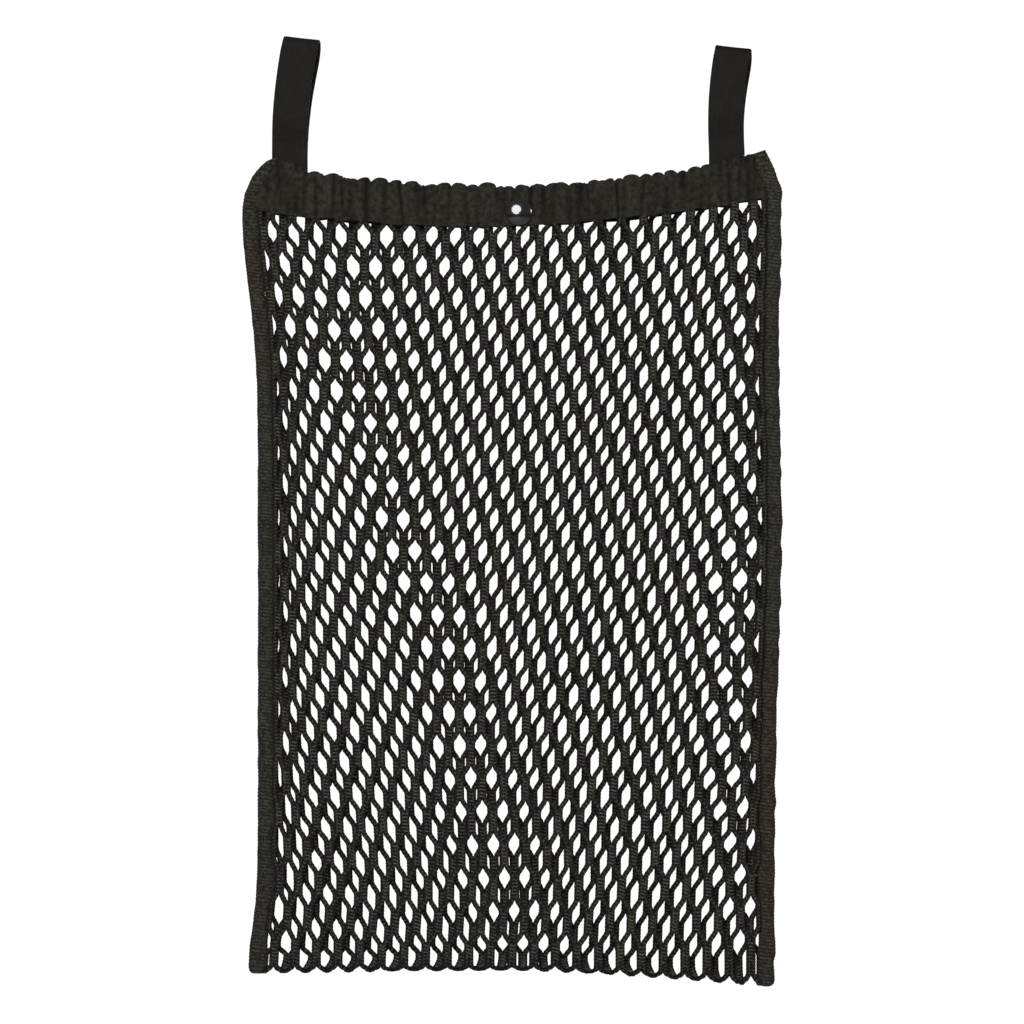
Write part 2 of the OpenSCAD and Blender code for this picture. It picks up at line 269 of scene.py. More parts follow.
class Builder:
    """Gathers grids of points into a mesh, each with its place on the cloth and its painted shade: how far its
    colour is darkened to stand in for shade.
    """

    def __init__(self):
        self.points, self.cloth, self.painted_shade = [], [], []
        self.quads, self.tris, self.count = [], [], 0

    def add(self, points, cloth, painted_shade):
        self.points.append(points.reshape(-1, 3))
        self.cloth.append(cloth.reshape(-1, 2))
        self.painted_shade.append(painted_shade.reshape(-1))
        first = self.count
        self.count += len(self.points[-1])
        return first

    def grid(self, points, cloth, painted_shade):
        """Adds a grid of points and gives the number of each."""
        return self.add(points, cloth, painted_shade) + np.arange(painted_shade.size).reshape(painted_shade.shape)

    def skin(self, *grids):
        """Faces whose four corners are given by four equal grids."""
        self.quads.append(np.stack([grid.ravel() for grid in grids], 1))

    def tube(self, rings, cloth, painted_shade):
        """A closed tube through rings of points, with a rounded tip at each end."""
        painted_shade = np.broadcast_to(painted_shade, rings.shape[:2])
        grid = self.grid(rings, cloth, painted_shade)
        after = np.roll(grid, -1, 1)
        self.skin(grid[:-1], after[:-1], after[1:], grid[1:])
        for end, inward in ((0, 1), (len(rings) - 1, -1)):
            middle = rings[end].mean(0)
            tip = middle + (middle - rings[end + inward].mean(0)) * TIP
            pole = self.add(tip, cloth[end].mean(0), painted_shade[end].mean())
            fan = [grid[end], after[end]][::-inward]
            self.tris.append(np.stack([*fan, np.full(len(grid[end]), pole)], 1))

    def sheet(self, over, under, cloth, painted_shade):
        """A closed sheet of cloth between two grids of points."""
        top = self.grid(over, cloth, painted_shade)
        low = self.grid(under, cloth, painted_shade)
        self.skin(top[:-1, :-1], top[:-1, 1:], top[1:, 1:], top[1:, :-1])
        self.skin(low[:-1, :-1], low[1:, :-1], low[1:, 1:], low[:-1, 1:])
        self.skin(top[0, 1:], top[0, :-1], low[0, :-1], low[0, 1:])
        self.skin(top[-1, :-1], top[-1, 1:], low[-1, 1:], low[-1, :-1])
        self.skin(top[:-1, 0], top[1:, 0], low[1:, 0], low[:-1, 0])
        self.skin(top[1:, -1], top[:-1, -1], low[:-1, -1], low[1:, -1])

    def hoop(self, rings, cloth, painted_shade):
        """A ring-shaped surface: rings of points whose last one joins the first."""
        grid = self.grid(rings, cloth, painted_shade)
        beyond = np.roll(grid, -1, 0)
        self.skin(grid, np.roll(grid, -1, 1), np.roll(beyond, -1, 1), beyond)

    def finish(self, name, material):
        points = np.concatenate(self.points)
        quads = np.concatenate(self.quads)
        tris = np.concatenate(self.tris) if self.tris else np.zeros((0, 3), int)
        halves = np.concatenate([quads[:, :3], quads[:, [0, 2, 3]], tris])
        a, b, c = (points[halves[:, k]] - points.mean(0) for k in range(3))
        if np.sum(a * np.cross(b, c)) < 0:
            quads, tris = quads[:, ::-1], tris[:, ::-1]
        loops = np.concatenate([quads.ravel(), tris.ravel()])
        starts = np.r_[np.arange(len(quads)) * 4, len(quads) * 4 + np.arange(len(tris)) * 3]
        mesh = bpy.data.meshes.new(name)
        mesh.vertices.add(len(points))
        mesh.vertices.foreach_set("co", points.astype(np.float32).ravel())
        mesh.loops.add(len(loops))
        mesh.loops.foreach_set("vertex_index", loops.astype(np.int32))
        mesh.polygons.add(len(starts))
        mesh.polygons.foreach_set("loop_start", starts.astype(np.int32))
        mesh.polygons.foreach_set("use_smooth", np.ones(len(starts), bool))
        cloth = np.pad(np.concatenate(self.cloth), ((0, 0), (0, 1)))
        attribute = mesh.attributes.new("cloth", "FLOAT_VECTOR", "POINT")
        attribute.data.foreach_set("vector", cloth.astype(np.float32).ravel())
        # Painted shade: the share by which the materials darken the colour, standing in for shade in creases,
        # grooves, folds and on the yarn's sides.
        attribute = mesh.attributes.new("painted_shade", "FLOAT", "POINT")
        attribute.data.foreach_set("value", np.concatenate(self.painted_shade).astype(np.float32))
        mesh.update(calc_edges=True)
        mesh.validate()
        mesh.materials.append(material)
        piece = put(name, mesh)
        return piece


def frame_along(path, sideways=(1, 0, 0)):
    """Unit vectors out of the cloth and across a path on it. sideways lies in the cloth."""
    along = unit(np.gradient(path, axis=0))
    out = unit(np.cross(sideways, along))
    return out, np.cross(along, out)


def rings_round(line, out, beside, high, wide):
    """Rings round a line, by distances from it along out and beside."""
    return line[:, None] + out[:, None] * high[..., None] + beside[:, None] * wide[..., None]


def bends_with_mouth(piece, node):
    """Bakes the piece's place into its mesh and hides the CAD node that it stands for."""
    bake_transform(piece)
    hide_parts(node)


def rides(piece, body, node):
    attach(piece, body)
    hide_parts(node)


# ---- materials


def srgb(*values):
    """A colour seen on a screen, as the shader wants it."""
    linear = [v / 12.92 if v <= 0.04045 else ((v + 0.055) / 1.055) ** 2.4 for v in values]
    return (*linear, 1)


class Nodes:
    """A short way to make and join shader nodes."""

    def __init__(self, name):
        self.material = bpy.data.materials.new(name)
        self.material.use_nodes = True
        self.tree = self.material.node_tree
        self.shader = self.tree.nodes["Principled BSDF"]

    def node(self, kind, settings=None, **inputs):
        made = self.tree.nodes.new("ShaderNode" + kind)
        for name, value in (settings or {}).items():
            setattr(made, name, value)
        for name, value in inputs.items():
            self.join(value, made.inputs[name.replace("_", " ")])
        return made

    def join(self, value, socket):
        if isinstance(value, bpy.types.NodeSocket):
            self.tree.links.new(value, socket)
        else:
            socket.default_value = value

    def math(self, operation, *values):
        made = self.node("Math", {"operation": operation})
        for value, socket in zip(values, made.inputs):
            self.join(value, socket)
        return made.outputs[0]

    def attribute(self, name, output):
        return self.node("Attribute", {"attribute_name": name}).outputs[output]

    def cloth(self):
        """Places along the thread or cloth and across it."""
        split = self.node("SeparateXYZ", Vector=self.attribute("cloth", "Vector"))
        return split.outputs["X"], split.outputs["Y"]

    def ramp(self, factor, stops):
        """Colours between two stops of (place, colour)."""
        made = self.node("ValToRGB", Fac=factor)
        for element, (place, colour) in zip(made.color_ramp.elements, stops):
            element.position = place
            element.color = colour
        return made.outputs["Color"]

    def mix(self, factor, a, b):
        made = self.node("Mix", {"data_type": "RGBA"})
        self.join(factor, made.inputs["Factor"])
        self.join(a, made.inputs[6])
        self.join(b, made.inputs[7])
        return made.outputs[2]

    def toward(self, tone, other, value, share):
        """The tone, mixed with another by a share of a value."""
        return self.mix(self.math("MULTIPLY", value, share), tone, other)

    def fall(self, value, low, high, most):
        """As much as most where the value is low, falling to 0 where it is high."""
        limits = {"From_Min": low, "From_Max": high, "To_Min": most, "To_Max": 0.0}
        return self.node("MapRange", Value=value, **limits).outputs["Result"]

    def noise(self, size, detail=3.0, roughness=0.6):
        """Cloudy noise from 0 to 1, with clouds of that size in millimetres."""
        place = self.node("TexCoord").outputs["Object"]
        settings = {"Scale": 1 / (size * MM), "Detail": detail, "Roughness": roughness}
        return self.node("TexNoise", Vector=place, **settings).outputs["Fac"]

    def stripes(self, coordinate, pitch):
        """A wave from 0 to 1 along a coordinate in metres, with a pitch in millimetres."""
        turn = self.math("MULTIPLY", coordinate, 2 * math.pi / (pitch * MM))
        return self.math("MULTIPLY_ADD", self.math("SINE", turn), 0.5, 0.5)

    def bump(self, height, distance, strength):
        made = self.node("Bump", Height=height, Distance=distance * MM, Strength=strength)
        return made.outputs["Normal"]

    def surface(self, colour, roughness, normal=None, **plain):
        self.join(colour, self.shader.inputs["Base Color"])
        self.join(roughness, self.shader.inputs["Roughness"])
        if normal is not None:
            self.join(normal, self.shader.inputs["Normal"])
        for name, value in plain.items():
            self.shader.inputs[name.replace("_", " ")].default_value = value
        return self.material


def fibre_material(name, light, dark, ply_pitch, ply_slant, fuzz, sheen, sheen_tint):
    """Spun or textured yarn: fine slanted plies, painted shade where the loops meet and on the yarn's sides, and
    uneven dye.
    """
    n = Nodes(name)
    along, round_it = n.cloth()
    plies = n.stripes(n.math("ADD", n.math("MULTIPLY", along, ply_slant), round_it), ply_pitch)
    fluff = n.noise(0.45, 4.0, 0.7)
    clumps = n.noise(1.9, 3.0, 0.65)
    dye = n.noise(38, 2.0)
    tone = n.toward(light, n.mix(0.5, light, dark), dye, 0.5)
    tone = n.mix(n.fall(clumps, 0.38, 0.6, 0.85), tone, dark)
    # Painted shade: darker where the mesh's painted-shade share is high.
    tone = n.toward(tone, dark, n.attribute("painted_shade", "Fac"), 0.75)
    tone = n.toward(tone, dark, plies, 0.22)
    pale = n.mix(0.5, light, srgb(0.5, 0.48, 0.46))
    tone = n.toward(tone, pale, n.math("POWER", fluff, 4.0), fuzz)
    height = n.math("ADD", n.math("MULTIPLY", plies, 0.6), n.math("ADD", fluff, clumps))
    return n.surface(
        tone, n.math("MULTIPLY_ADD", fluff, 0.18, 0.74), n.bump(height, 0.3, 0.9),
        Sheen_Weight=sheen, Sheen_Roughness=0.5, Sheen_Tint=sheen_tint, Specular_IOR_Level=0.04,
    )


def woven_material(name, light, dark, warp_pitch, weft_pitch, relief, roughness, sheen):
    """Plain-woven cloth: warp and weft threads that pass over each other by turns."""
    n = Nodes(name)
    along, beside = n.cloth()
    weft = n.math("MULTIPLY", n.stripes(along, weft_pitch), 0.8)
    threads = n.math("MAXIMUM", n.stripes(beside, warp_pitch), weft)
    slub = n.noise(3.5)
    dye = n.noise(30)
    fluff = n.noise(0.3, 3.0, 0.7)
    tone = n.toward(dark, light, threads, 0.7)
    tone = n.mix(n.fall(slub, 0.36, 0.62, 0.75), tone, dark)
    tone = n.toward(tone, dark, dye, 0.3)
    # Painted shade: darker in the hem's folds and between the ribs of webbing and elastic.
    tone = n.toward(tone, dark, n.attribute("painted_shade", "Fac"), 0.95)
    height = n.math("ADD", threads, n.math("MULTIPLY", n.math("ADD", fluff, slub), 0.5))
    return n.surface(
        tone, n.math("MULTIPLY_ADD", slub, 0.16, roughness), n.bump(height, relief, 0.8),
        Sheen_Weight=sheen, Sheen_Roughness=0.45, Sheen_Tint=srgb(0.75, 0.72, 0.7),
        Specular_IOR_Level=0.08,
    )


def metal_material():
    """Gunmetal plating with a fine grain and worn patches."""
    n = Nodes("stud_metal")
    grain = n.noise(0.25, 5.0, 0.7)
    wear = n.noise(4, 4.0)
    tone = n.ramp(wear, [(0.35, srgb(0.34, 0.34, 0.36)), (0.7, srgb(0.56, 0.55, 0.55))])
    rough = n.math("MULTIPLY_ADD", grain, 0.25, 0.22)
    return n.surface(tone, rough, n.bump(grain, 0.02, 0.5), Metallic=1.0)


def lacquer_material():
    """Glossy black lacquer over metal, with a little orange peel and fine dust."""
    n = Nodes("cap_lacquer")
    peel = n.noise(1.6, 2.0)
    dust = n.math("POWER", n.noise(0.5, 4.0, 0.75), 6.0)
    tone = n.toward(srgb(0.05, 0.05, 0.053), srgb(0.3, 0.29, 0.28), dust, 0.6)
    rough = n.math("MULTIPLY_ADD", dust, 0.8, 0.12)
    return n.surface(
        tone, rough, n.bump(peel, 0.03, 0.35),
        Coat_Weight=1.0, Coat_Roughness=0.05, Coat_IOR=1.5, Specular_IOR_Level=0.3,
    )


WARM_SHEEN = srgb(0.7, 0.67, 0.64)
net_material = fibre_material(
    "net_yarn", srgb(0.4, 0.382, 0.345), srgb(0.01, 0.009, 0.008), 0.75, 0.8, 0.5, 0.03, WARM_SHEEN,
)
seam_material = fibre_material(
    "seam_thread", srgb(0.28, 0.26, 0.232), srgb(0.034, 0.03, 0.026), 0.5, 0.3, 0.35, 0.03, WARM_SHEEN,
)
thread_material = fibre_material(
    "sewing_thread", srgb(0.17, 0.16, 0.15), srgb(0.07, 0.065, 0.06), 0.35, 0.9, 0.2, 0.05,
    srgb(0.8, 0.78, 0.75),
)
hem_material = woven_material(
    "hem_cloth", srgb(0.258, 0.236, 0.21), srgb(0.026, 0.023, 0.02), 0.62, 0.55, 0.12, 0.78, 0.03,
)
webbing_material = woven_material(
    "webbing", srgb(0.136, 0.122, 0.11), srgb(0.055, 0.048, 0.043), 1.05, 0.8, 0.1, 0.65, 0.02,
)
elastic_material = woven_material(
    "elastic", srgb(0.2, 0.2, 0.2), srgb(0.08, 0.08, 0.08), 1.4, 0.9, 0.12, 0.8, 0.05,
)
stud_material = metal_material()
cap_material = lacquer_material()

# ---- the knitted net
# Heights, widths and places without a unit are shares of the net's.

LEGS = 46  # yarn columns across one layer
SQUEEZE = 0.5  # how much closer they are at the seams
SQUEEZE_LEGS = 1.4  # columns over which that fades
SQUEEZE_UP = 0.35  # height over which it comes about
MESH_LOW = 47.4 * MM  # height of one mesh at the fold
MESH_SHRINK = 0.048  # how much shorter meshes are at the hem
TAPER = 0.215  # meshes over which two yarns part
FOLD_TAPER = 0.12  # the same at the fold
YARN_W = 1.92 * MM  # half width of a yarn
YARN_T = 1.5 * MM  # half its thickness
PRESSED = 0.77  # distance of joined yarns, in widths
LOOP_PITCH = 2.4 * MM  # one knitted loop
LOOP_RINGS = 4  # rings of points on each
LOOP_SIDES = 10
LACE_R = 0.42 * MM  # radius of the thread that binds two yarns
LACE_WIDE = 1.05  # its reach, in half widths of a yarn
LACE_STEPS = 8  # points on each turn
LACE_SIDES = 5
HIDDEN_EDGE = 2.5 * MM  # how far the net runs in under each seam
IN_HEM = 3 * MM  # and up inside the hem
STRIPS = 6  # pieces of each layer

FOLD_PHASE = 0.145  # meshes from the fold to the joint behind it
RISEN_PHASE = 0.096  # meshes by which higher rows are low in front
FOLD_GIVE = 32 * MM  # height over which layers get out of step
SLIP = 0.06  # meshes by which the back is out of step
SLIP_LOSS = 0.11  # less at the lower left
SHIFT = 4.4 * MM  # its shift right, left of a slanting line
SHIFT_SPREAD = 0.16  # width over which that turns to the left
SHIFT_LOW = 0.53  # place of that line at the fold
SHIFT_HIGH = 0.07  # and towards the hem
SHIFT_RISE = 12 * MM  # height over which the shift comes about
SHIFT_TURN = 0.2  # how far the line turns back under the hem
COLUMN_BOW = 4.5 * MM  # bow of the columns to the left
COLUMN_LEAN = 3.5 * MM  # their lean to the right at the top
BOW_UNEVEN = 0.35  # how much less the middle ones bow
BOW_SPAN = 1.2  # width over which that comes and goes
CALM_LEFT = 0.1  # width by the left seam where less shifts
CALM_RIGHT = 0.12  # the same by the right seam
HIGH_UP = 0.8  # height above which the line turns back
RIGHT_FROM = 0.7  # place from which the low back shifts less
RIGHT_LOSS = 0.5  # and how much less
JOINT_UNEVEN = 0.03  # meshes by which joints leave their row
STRAY = 0.7 * MM  # sideways strays of a column
SWAY = 0.5 * MM  # and in and out of the net's surface
HALF_WAY = 0.25  # meshes from a joint to the middle of a crossing

LOOP_UNEVEN = 0.3  # loops by which one is early or late
LOOP_LAG = 0.42  # loops by which its sides lag
LOOP_WIDER = 0.06  # swell of a loop in width
LOOP_THICKER = 0.17  # and in thickness
GROOVE = 0.22  # depth of the groove along it
GROOVE_HALF = 0.4  # its half width, as an angle
YARN_UNEVEN = 0.06  # how much a yarn's size wanders

legs = np.arange(LEGS)
closeness = 1 - SQUEEZE * (bell(legs, 0, SQUEEZE_LEGS) + bell(legs, LEGS - 1, SQUEEZE_LEGS))
column_edges = np.r_[0, np.cumsum(closeness)] / closeness.sum()


def even_place(j):
    """Place u of yarn column j, from 0 at the left seam to 1 at the right one."""
    return (j + 0.5) / LEGS


def column_place(j, h):
    """Its place at the share h of the height, with columns drawn together near the seams."""
    squeezed = np.interp(j + 0.5, np.arange(LEGS + 1), column_edges)
    return lerp(even_place(j), squeezed, smooth(h / SQUEEZE_UP))


def mesh_wave(phase, s):
    """Sideways place of a yarn: 1 against one neighbour, -1 against the other."""
    from_joint = np.abs(phase - np.round(phase))
    taper = lerp(FOLD_TAPER, TAPER, smooth(np.abs(s) / FOLD_GIVE))
    return np.sin(np.clip((HALF_WAY - from_joint) / (taper / 2), -1, 1) * math.pi / 2)


def net_surface(u, s):
    """y and z of the net. s runs from the fold up the front, and below 0 up the back."""
    r = at_place(u, fold_r)
    centre = at_place(u, fold_z)
    side = np.where(s < 0, BACK, FRONT)
    up = np.abs(s) - r * math.pi / 2
    angle = np.clip(np.abs(s) / r, 0, math.pi / 2)
    z = centre + np.where(up > 0, up, -r * np.cos(angle))
    low = at_place(u, wall_low)
    v = np.clip((z - low) / (at_place(u, wall_top) - low), 0, 1)
    wall_y = np.where(s < 0, on_wall(u, v, net_y[BACK]), on_wall(u, v, net_y[FRONT]))
    y = np.where(up > 0, wall_y, side * r * np.sin(angle))
    return y, z


def height_share(z):
    """0 at the fold and 1 at the hem."""
    return np.clip((z - fold_z[0]) / (hem_low[0] - fold_z[0]), 0, 1)


def inside_edges(u):
    """1 on the net, falling to 0 at the seams that hold it."""
    return smooth(u / CALM_LEFT) * smooth((1 - u) / CALM_RIGHT)


def back_shift(u, h):
    """How far the back layer has moved sideways against the front one."""
    line = lerp(SHIFT_LOW, SHIFT_HIGH, h) + SHIFT_TURN * smooth((h - HIGH_UP) / 0.25)
    rightward = smooth((u - RIGHT_FROM) / (1 - RIGHT_FROM))
    calmer = 1 - RIGHT_LOSS * rightward * smooth((HIGH_UP - h) / 0.3)
    return -SHIFT * np.tanh((u - line) / SHIFT_SPREAD) * calmer * inside_edges(u)


def column_drift(u, h):
    """How far both layers' columns stand from an even spread."""
    bow = -COLUMN_BOW * 4 * h * (1 - h) * (1 - BOW_UNEVEN * wave((u - 0.5) / BOW_SPAN))
    return (bow + COLUMN_LEAN * h * smooth(u * 2)) * inside_edges(u)


def mesh_phase(j, s):
    """Place of column j in its swing: a whole number in the middle of a joint with the next."""
    u = even_place(j)
    risen = smooth(np.abs(s) / FOLD_GIVE)
    side = np.sign(s) * risen
    dip = fold_z[0] - at_place(u, fold_z)
    level = s - dip * side
    tall = hem_low[0] - fold_z[0]
    meshes = level / MESH_LOW * (1 + MESH_SHRINK * np.abs(level) / tall)
    h = np.clip(np.abs(s) / tall, 0, 1)
    slip = SLIP - SLIP_LOSS * smooth(1 - u / 0.3) * smooth(1 - h / 0.6)
    uneven = JOINT_UNEVEN * wander(s + 0.9 * u, 60 * MM, 100)
    phase = lerp(FOLD_PHASE, RISEN_PHASE, risen)
    return meshes + phase + slip * np.clip(-side, 0, 1) + uneven + (j + 1) / 2


def column_middle(u, s, z):
    """x about which a yarn column at the place u would swing."""
    h = height_share(z)
    x = across(u, z, HIDDEN_EDGE) + column_drift(u, h) + STRAY * wander(s + 0.5 * u, 40 * MM, 300)
    return x + back_shift(u, h) * (s < 0) * smooth(np.abs(s) / SHIFT_RISE)


def yarn_path(j, s):
    """The line of yarn column j, pressed against each neighbour by turns."""
    u = np.full(len(s), even_place(j))
    y, z = net_surface(u, s)
    h = height_share(z)
    left, middle, right = (column_middle(column_place(j + k, h), s, z) for k in (-1, 0, 1))
    swing = mesh_wave(mesh_phase(j, s), s)
    reach = np.where(swing > 0, right - middle, middle - left) / 2 - YARN_W * PRESSED
    y = y + SWAY * wander(s + 0.7 * u, 22 * MM, 400)
    return np.stack([middle + swing * reach, y, z], 1)


def add_yarn(build, j, s):
    """A chain of knitted loops that swell, with a groove along them, and painted shade in the groove, between the
    loops and on the yarn's sides.
    """
    path = yarn_path(j, s)
    out, beside = frame_along(path)
    angle = angles_round(LOOP_SIDES)
    lateral = np.abs(np.sin(angle))
    loops = s[:, None] / LOOP_PITCH + LOOP_UNEVEN * wander(s, 30 * MM, 500 + j)[:, None]
    relief = wave(loops - LOOP_LAG * lateral)
    groove = sum(bell(angle, k * math.pi, GROOVE_HALF) for k in range(3))
    size = 1 + YARN_UNEVEN * wander(s, 18 * MM, 700 + j)[:, None]
    wide = YARN_W * size * (1 + LOOP_WIDER * relief)
    thick = YARN_T * size * (1 + LOOP_THICKER * relief - GROOVE * groove)
    rings = rings_round(path, out, beside, np.cos(angle) * thick, np.sin(angle) * wide)
    # Painted shade: darker on the yarn's sides, in its groove and between its loops.
    shade = 1.4 * smooth((lateral - 0.35) / 0.45)
    build.tube(rings, pairs(s[:, None], angle * YARN_W), 0.5 - 0.5 * relief + 0.4 * groove + shade)


def joint_middles(j, s):
    """Places along column j where it lies against column j + 1."""
    phase = mesh_phase(j, s)
    whole = np.arange(math.ceil(phase[0]), math.floor(phase[-1]) + 1)
    return np.interp(whole, phase, s)


def add_lacing(build, j, middle, ends):
    """The thread that binds column j to the next one in a joint."""
    turns = (0.5 - TAPER) * MESH_LOW / LOOP_PITCH
    t = np.linspace(0, turns, int(turns * LACE_STEPS) + 1)
    t = t[np.abs(middle + (t - turns / 2) * LOOP_PITCH - sum(ends) / 2) < (ends[1] - ends[0]) / 2]
    s = middle + (t - turns / 2) * LOOP_PITCH
    line = (yarn_path(j, s) + yarn_path(j + 1, s)) / 2
    out, beside = frame_along(line)
    turn = t * 2 * math.pi
    over = np.sign(np.sin(turn)) * np.abs(np.sin(turn)) ** 0.5
    line = line + beside * (YARN_W * LACE_WIDE * np.cos(turn))[:, None] + out * (YARN_T * over)[:, None]
    across_thread = unit(np.cross(np.gradient(line, axis=0), out))
    angle = angles_round(LACE_SIDES)
    rings = rings_round(line, out, across_thread, LACE_R * np.cos(angle), LACE_R * np.sin(angle))
    # Painted shade: darker where the thread passes through the net, between its turns in front and behind.
    build.tube(rings, pairs(s[:, None] * 2, angle * LACE_R), 0.35 - 0.35 * np.abs(over)[:, None])


def net_strip(name, first, last, side):
    """Yarn columns first to last of the front wall, or of the back wall with the fold."""
    build = Builder()
    step = LOOP_PITCH / LOOP_RINGS
    for j in range(first, last):
        u = even_place(j)
        part = at_place(u, fold_r) * math.pi / 2
        top = at_place(u, hem_low) - at_place(u, fold_z) + part + IN_HEM
        low_s, high_s = (-top, part + step) if side == BACK else (part, top)
        s = np.linspace(low_s, high_s, int((high_s - low_s) / step))
        add_yarn(build, j, s)
        if j < LEGS - 1:
            for middle in joint_middles(j, s):
                add_lacing(build, j, middle, (low_s + IN_HEM / 2, high_s - IN_HEM / 2))
    strip = build.finish(name, net_material)
    return strip


def build_net():
    edges = [round(LEGS * k / STRIPS) for k in range(STRIPS + 1)]
    for k in range(STRIPS):
        rides(net_strip(f"net_back_{k}", edges[k], edges[k + 1], BACK), "bag", "net_back")
        front = net_strip(f"net_front_{k}", edges[k], edges[k + 1], FRONT)
        bends_with_mouth(front, "net_front")


build_net()

# ---- the gathered hems

HEM_STEP = 0.75 * MM  # distance between columns of points
HEM_ROWS = 26  # points up the outer face
CLOTH_T = 0.45 * MM
FULLNESS = 1.25  # length of the cloth over the mouth's
GATHER_MIN = 4 * MM  # distances between the gathers' folds
GATHER_MAX = 13 * MM
GATHER_DEEP = 3.0 * MM  # depth of the deepest fold
OVER_ELASTIC = 1.5 * MM  # least distance from the elastic's middle
SCALLOP = 1.6 * MM  # drop of the top edge at a deep fold
PUFF = 3.4 * MM  # its rise between two folds
CORNER_PULL = 5.5 * MM  # how far the upper corners are pulled up
RIGHT_PULL = 0.45  # share of it at the hem's right end
RUFFLE = 0.8 * MM  # how far the top edge wanders
STITCH_UP = 0.1  # height of the sewn line in the hem
STITCH_HALF = 1.5 * MM  # half a stitch
STITCH_POINTS = 7
CRUMPLE = 0.2 * MM  # height of the small creases
PUCKER = 0.3 * MM  # and of those along the sewn line
RAGGED = 0.9 * MM  # how far the lower edge wanders
TURN_POINTS = 9  # points over the rounded top
ELASTIC_SHARE = 0.68  # width of the elastic over the hem's height
ELASTIC_T = 0.5 * MM  # half its thickness between the ribs
ELASTIC_RIBS = 28
RIB_HIGH = 0.1 * MM
SPLIT_U = 0.5  # where the front hem's pieces meet

split_x = across(SPLIT_U, hem_low[len(PLACES) // 2])


def corner_pull(u):
    """How much higher the top edge stands near the two corners."""
    return CORNER_PULL * (bell(u, -0.01, 0.05) + RIGHT_PULL * bell(u, 1.01, 0.05))


class Hem:
    """One gathered hem: a channel of cloth, open below, in puffs between folds."""

    def __init__(self, side, seed):
        self.side = side
        self.seed = seed
        random = np.random.default_rng(seed)
        self.folds = []
        at = cad_lo.x
        while at < cad_hi.x:
            at += random.uniform(GATHER_MIN, GATHER_MAX)
            lean = random.uniform(-3, 3) * MM
            width = random.uniform(0.8, 2.2) * MM
            self.folds.append((at, lean, random.uniform(0.25, 1), width, random.uniform(-1, 1)))

    def puff(self, x):
        """From 0 at the folds to 1 in the middle of the widest gap between two."""
        at = np.array([fold[0] for fold in self.folds])
        k = np.clip(np.searchsorted(at, x), 1, len(at) - 1)
        gap = at[k] - at[k - 1]
        t = np.clip((x - at[k - 1]) / gap, 0, 1)
        return np.sqrt(4 * t * (1 - t)) * (gap / GATHER_MAX) ** 1.3

    def fold_depth(self, x, h):
        """From 0 to 1, at x and the share h of the height. A fold fades away from the edge it starts at."""
        total = np.zeros(np.broadcast(x, h).shape)
        for at, lean, deep, width, runs in self.folds:
            away = h if runs > 0 else 1 - h
            fade = np.clip(1 - abs(runs) * away * 1.4, 0, 1)
            near = bell(x, at + lean * (h - 0.5), width * (1.5 - 0.5 * fade))
            total = np.maximum(total, deep * fade * near)
        return total

    def half_at(self, x, h):
        """Distance of the outer face from the channel's middle."""
        swell = 1 - 0.2 * (1 - smooth(h / 0.25))
        swell = swell * (1 + 0.12 * wander(x, 9 * MM, self.seed + 1))
        swell = swell + 0.07 * wander(x + 8 * MM * h, 5 * MM, self.seed + 2)
        bent = x + 3 * MM * wander(h, 0.25, self.seed + 3)
        crumple = CRUMPLE * wander(bent, 2.4 * MM, self.seed + 4)
        pucker = PUCKER * wander(x, 3.2 * MM, self.seed + 5) * bell(h, STITCH_UP, 0.07)
        half = hem_half * swell - GATHER_DEEP * self.fold_depth(x, h) + crumple + pucker
        return np.maximum(half, OVER_ELASTIC)

    def height_at(self, u, x, h):
        """z at the share h of the height, with both edges uneven."""
        low, high = hem_edges(u)
        scallop = RUFFLE * wander(x, 12 * MM, self.seed + 6) - SCALLOP * self.fold_depth(x, 1.0)
        scallop = scallop + PUFF * (self.puff(x) - 0.35) * inside_edges(u) + corner_pull(u)
        ragged = -RAGGED * wander(x, 6 * MM, self.seed + 7)
        return low + h * (high - low) + scallop * smooth((h - 0.4) / 0.6) + ragged * (1 - smooth(h / 0.15))

    def point(self, u, h, face, proud=0.0):
        """A point of the channel. face is 1 on the outer wall and -1 on the inner one."""
        low, high = hem_edges(u)
        x = across(u, low * 0.6 + high * 0.4, HIDDEN_EDGE)
        z = self.height_at(u, x, h)
        half = self.half_at(x, h)
        half = np.where(face < 0, np.clip(half, hem_half * 0.6, hem_half), half) + proud
        y = at_place(u, hem_y[self.side]) + self.side * face * half
        return np.stack([across(u, z, HIDDEN_EDGE), y, z], -1)

    def channel(self, u):
        """Grids of the cloth's outside and inside, by column and round the channel."""
        up = np.linspace(0, 1, HEM_ROWS)
        turn = np.linspace(0, math.pi, TURN_POINTS)[1:-1]
        down = np.linspace(1, 0, HEM_ROWS // 2)
        flat = 1 - hem_half / hem_tall
        rise = np.concatenate([up * flat, flat + (1 - flat) * np.sin(turn), down * flat])
        face = np.concatenate([np.ones(len(up)), np.cos(turn), -np.ones(len(down))])
        u = u[:, None]
        skin = self.point(u, rise, face)
        lining = self.point(u, rise - (1 - flat) * 0.3 * (np.abs(face) < 1), face, -CLOTH_T)
        x = skin[..., 0]
        run = np.cumsum(np.abs(np.diff(rise, prepend=0)))
        # The last value is painted shade, darker in the deep folds.
        return skin, lining, pairs(run * 30 * MM, x * FULLNESS), self.fold_depth(x, rise) ** 0.7


def hem_piece(name, hem, u0, u1):
    build = Builder()
    length = (u1 - u0) * (across(1, hem_low[0]) - across(0, hem_low[0]))
    skin, lining, cloth, painted_shade = hem.channel(np.linspace(u0, u1, int(length / HEM_STEP)))
    build.sheet(skin, lining, cloth, painted_shade)
    piece = build.finish(name, hem_material)
    return piece


